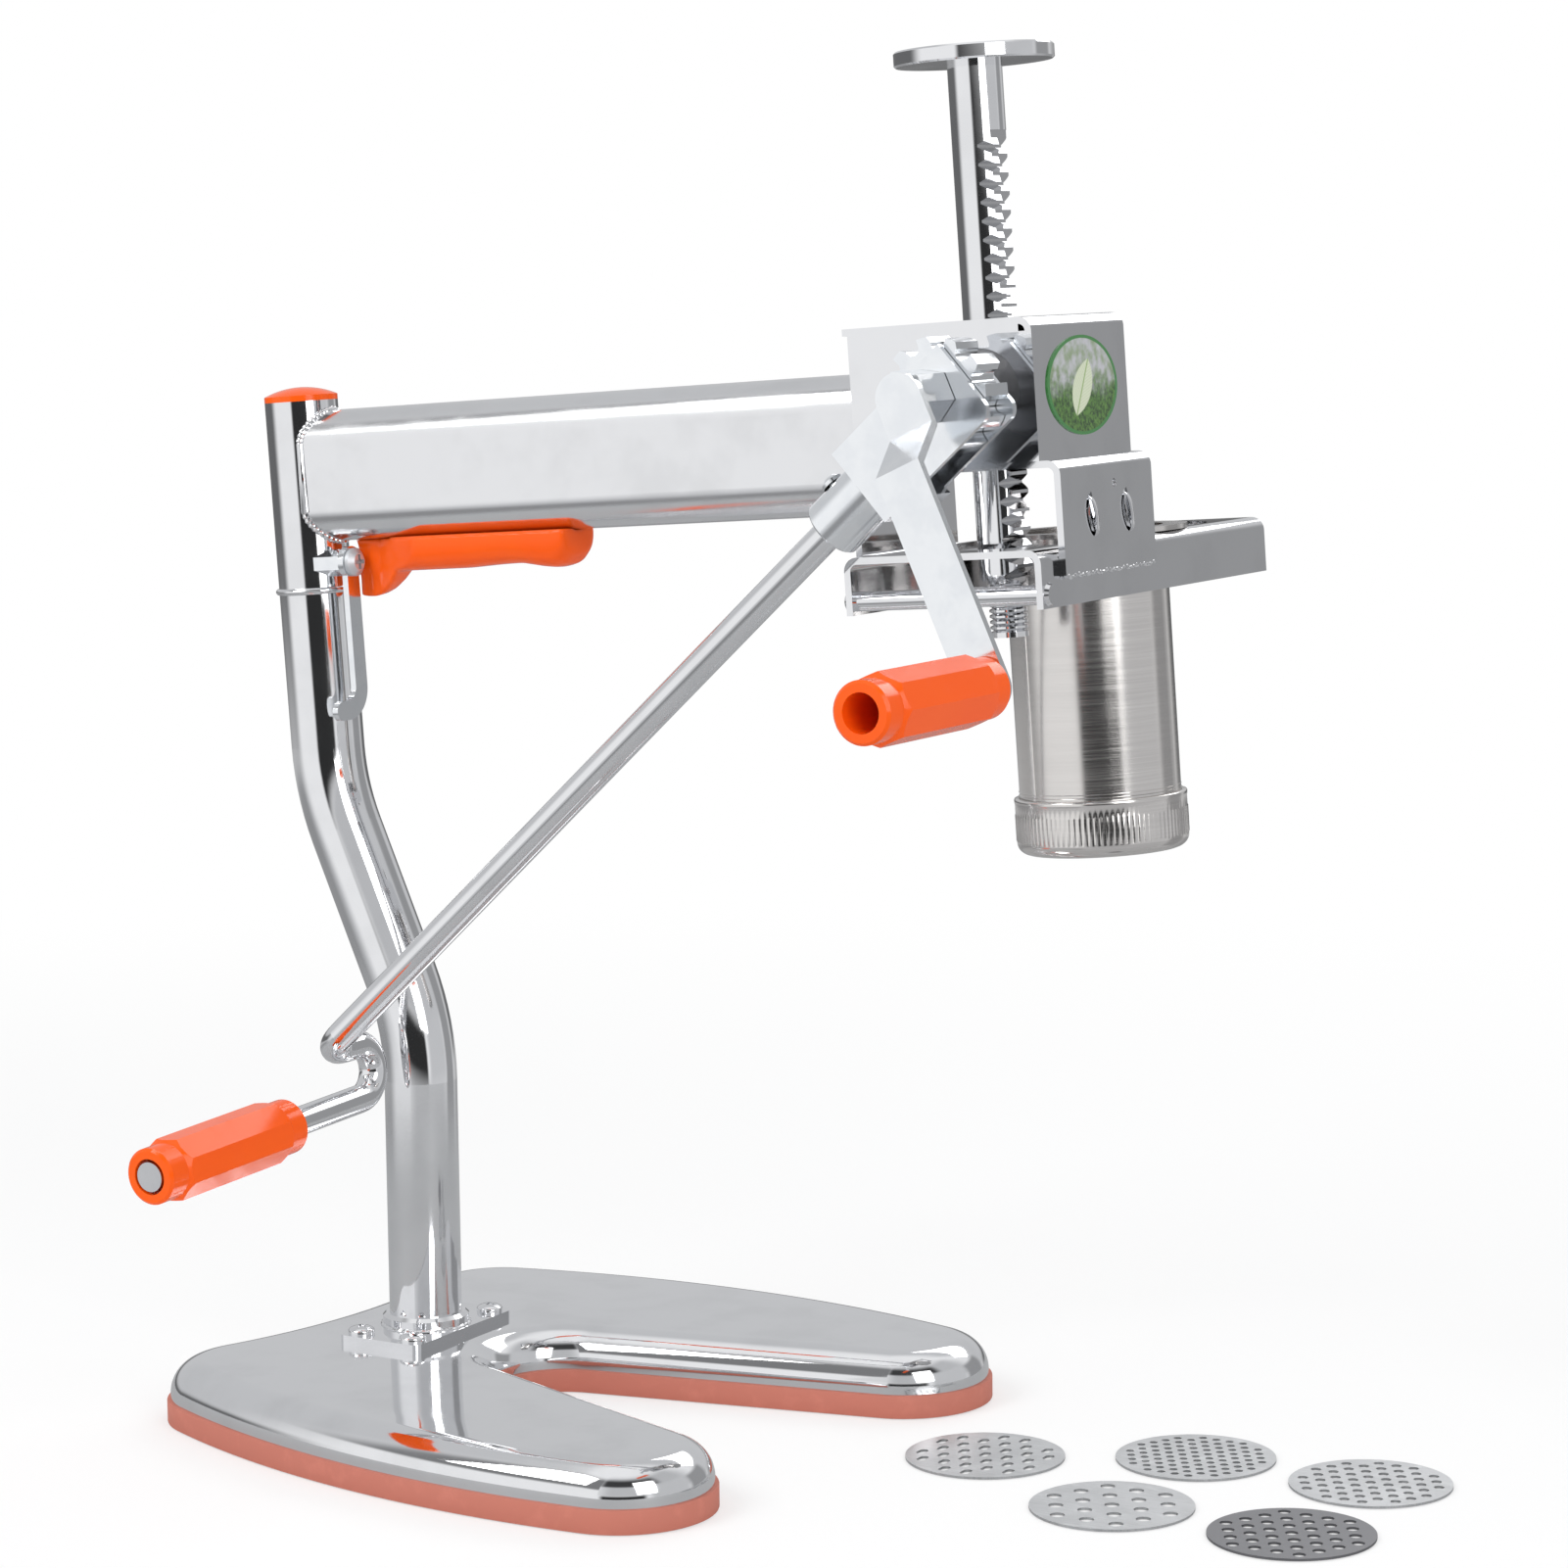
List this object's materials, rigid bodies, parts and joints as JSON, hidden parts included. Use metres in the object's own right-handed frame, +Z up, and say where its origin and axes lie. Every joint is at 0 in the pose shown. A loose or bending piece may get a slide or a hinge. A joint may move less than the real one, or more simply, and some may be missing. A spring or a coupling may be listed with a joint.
{
  "type": "hand-lever noodle press",
  "caption": "Free-standing sevai press: bent chromed column on a horseshoe foot, rack and pinion head with ratchet lever and crank, sliding barrel with screw cap and dies.",
  "frame": {"origin": "on the table, under the rubber rim at the closed end of the foot's slot, in the arm's middle plane", "axes": "+X along the arm towards the press head, +Y to the back, away from the crank, +Z up"},
  "size_m": [0.4784, 0.332, 0.5197],
  "materials": {
    "chrome": "bright chrome plate",
    "zinc": "bright zinc plate",
    "stainless": "brushed stainless steel",
    "cast_steel": "bare oiled steel",
    "dark_steel": "polished dark steel",
    "orange": "glossy orange plastic",
    "rubber_rim": "matt salmon rubber",
    "seal": "matt black rubber",
    "badge": "gloss print"
  },
  "bodies": {
    "stand": {"base_plate": "chrome", "base_rim": "rubber_rim", "column_flange": "chrome", "flange_screws": "chrome", "column": "chrome", "column_seam": "chrome", "column_cap": "orange", "arm": "chrome", "arm_grip": "orange", "latch_spacer": "zinc", "latch_screw": "zinc", "gearbox_frame": "chrome", "gearbox_cover": "chrome", "badge": "badge", "rack_guide": "cast_steel", "front_bearing": "cast_steel", "rear_bearing": "cast_steel", "yoke": "chrome", "tray": "chrome", "stop_rod": "zinc", "spare_die_oval": "stainless", "spare_die_fine": "stainless", "spare_die_medium": "stainless", "spare_die_coarse": "stainless", "spare_die_dimpled": "dark_steel"},
    "spindle": {"spindle": "cast_steel", "spindle_clip": "zinc", "ratchet_wheel": "zinc", "crank_nut": "zinc", "crank_arm": "zinc", "crank_pin": "zinc"},
    "crank_handle": {"crank_grip": "orange"},
    "lever": {"lever_fork": "zinc", "rod_socket": "zinc", "socket_screw": "zinc", "lever_rod": "chrome", "pawl_pin": "zinc"},
    "lever_handle": {"lever_grip": "orange"},
    "pawl": {"pawl": "zinc"},
    "press": {"rack": "chrome", "press_disc": "chrome"},
    "latch": {"latch_hook": "zinc"},
    "barrel": {"barrel": "stainless"},
    "die_stack": {"working_die": "stainless", "die_seal": "seal"},
    "cap": {"screw_cap": "stainless"}
  },
  "joints": [
    {"name": "spindle_spin", "type": "hinge", "parent": "stand", "child": "spindle", "pos_m": [0.23551, 0, 0.39829], "axis": [0, 1, 0], "range_deg": [-638, 428]},
    {"name": "rack_slide", "type": "slide", "parent": "stand", "child": "press", "axis": [-0.0663, 0, 0.9978], "range_m": [-0.082, 0.055]},
    {"name": "lever_swing", "type": "hinge", "parent": "stand", "child": "lever", "pos_m": [0.23551, -0.0614, 0.39829], "axis": [0, 1, 0], "range_deg": [-15, 75]},
    {"name": "pawl_pivot", "type": "hinge", "parent": "lever", "child": "pawl", "pos_m": [0.21588, -0.0614, 0.37232], "axis": [0, 1, 0], "range_deg": [0, 38], "stiffness_Nm_per_rad": 0.01, "springref_deg": -28.65},
    {"name": "crank_grip_spin", "type": "hinge", "parent": "spindle", "child": "crank_handle", "pos_m": [0.27789, -0.15, 0.30442], "axis": [0, 1, 0], "continuous": true},
    {"name": "lever_grip_spin", "type": "hinge", "parent": "lever", "child": "lever_handle", "pos_m": [-0.03416, -0.12836, 0.12045], "axis": [0.0029, -0.999, -0.0435], "continuous": true},
    {"name": "latch_swing", "type": "hinge", "parent": "stand", "child": "latch", "pos_m": [-0.05823, -0.007, 0.32837], "axis": [-0.9978, 0, -0.0663], "range_deg": [-8, 95]},
    {"name": "barrel_slide", "type": "slide", "parent": "stand", "child": "barrel", "axis": [0, 1, 0], "range_m": [-0.012, 0.034]},
    {"name": "cap_travel", "type": "slide", "parent": "barrel", "child": "die_stack", "axis": [-0.0663, 0, 0.9978], "range_m": [-0.009, 0]},
    {"name": "cap_turn", "type": "hinge", "parent": "die_stack", "child": "cap", "pos_m": [0.23289, 0.063, 0.23596], "axis": [-0.0663, 0, 0.9978], "range_deg": [-1080, 0]}
  ],
  "couplings": [
    {"joint": "rack_slide", "follows": "spindle_spin", "m_per_rad": 0.00735},
    {"joint": "cap_travel", "follows": "cap_turn", "m_per_rad": 0.000477}
  ]
}
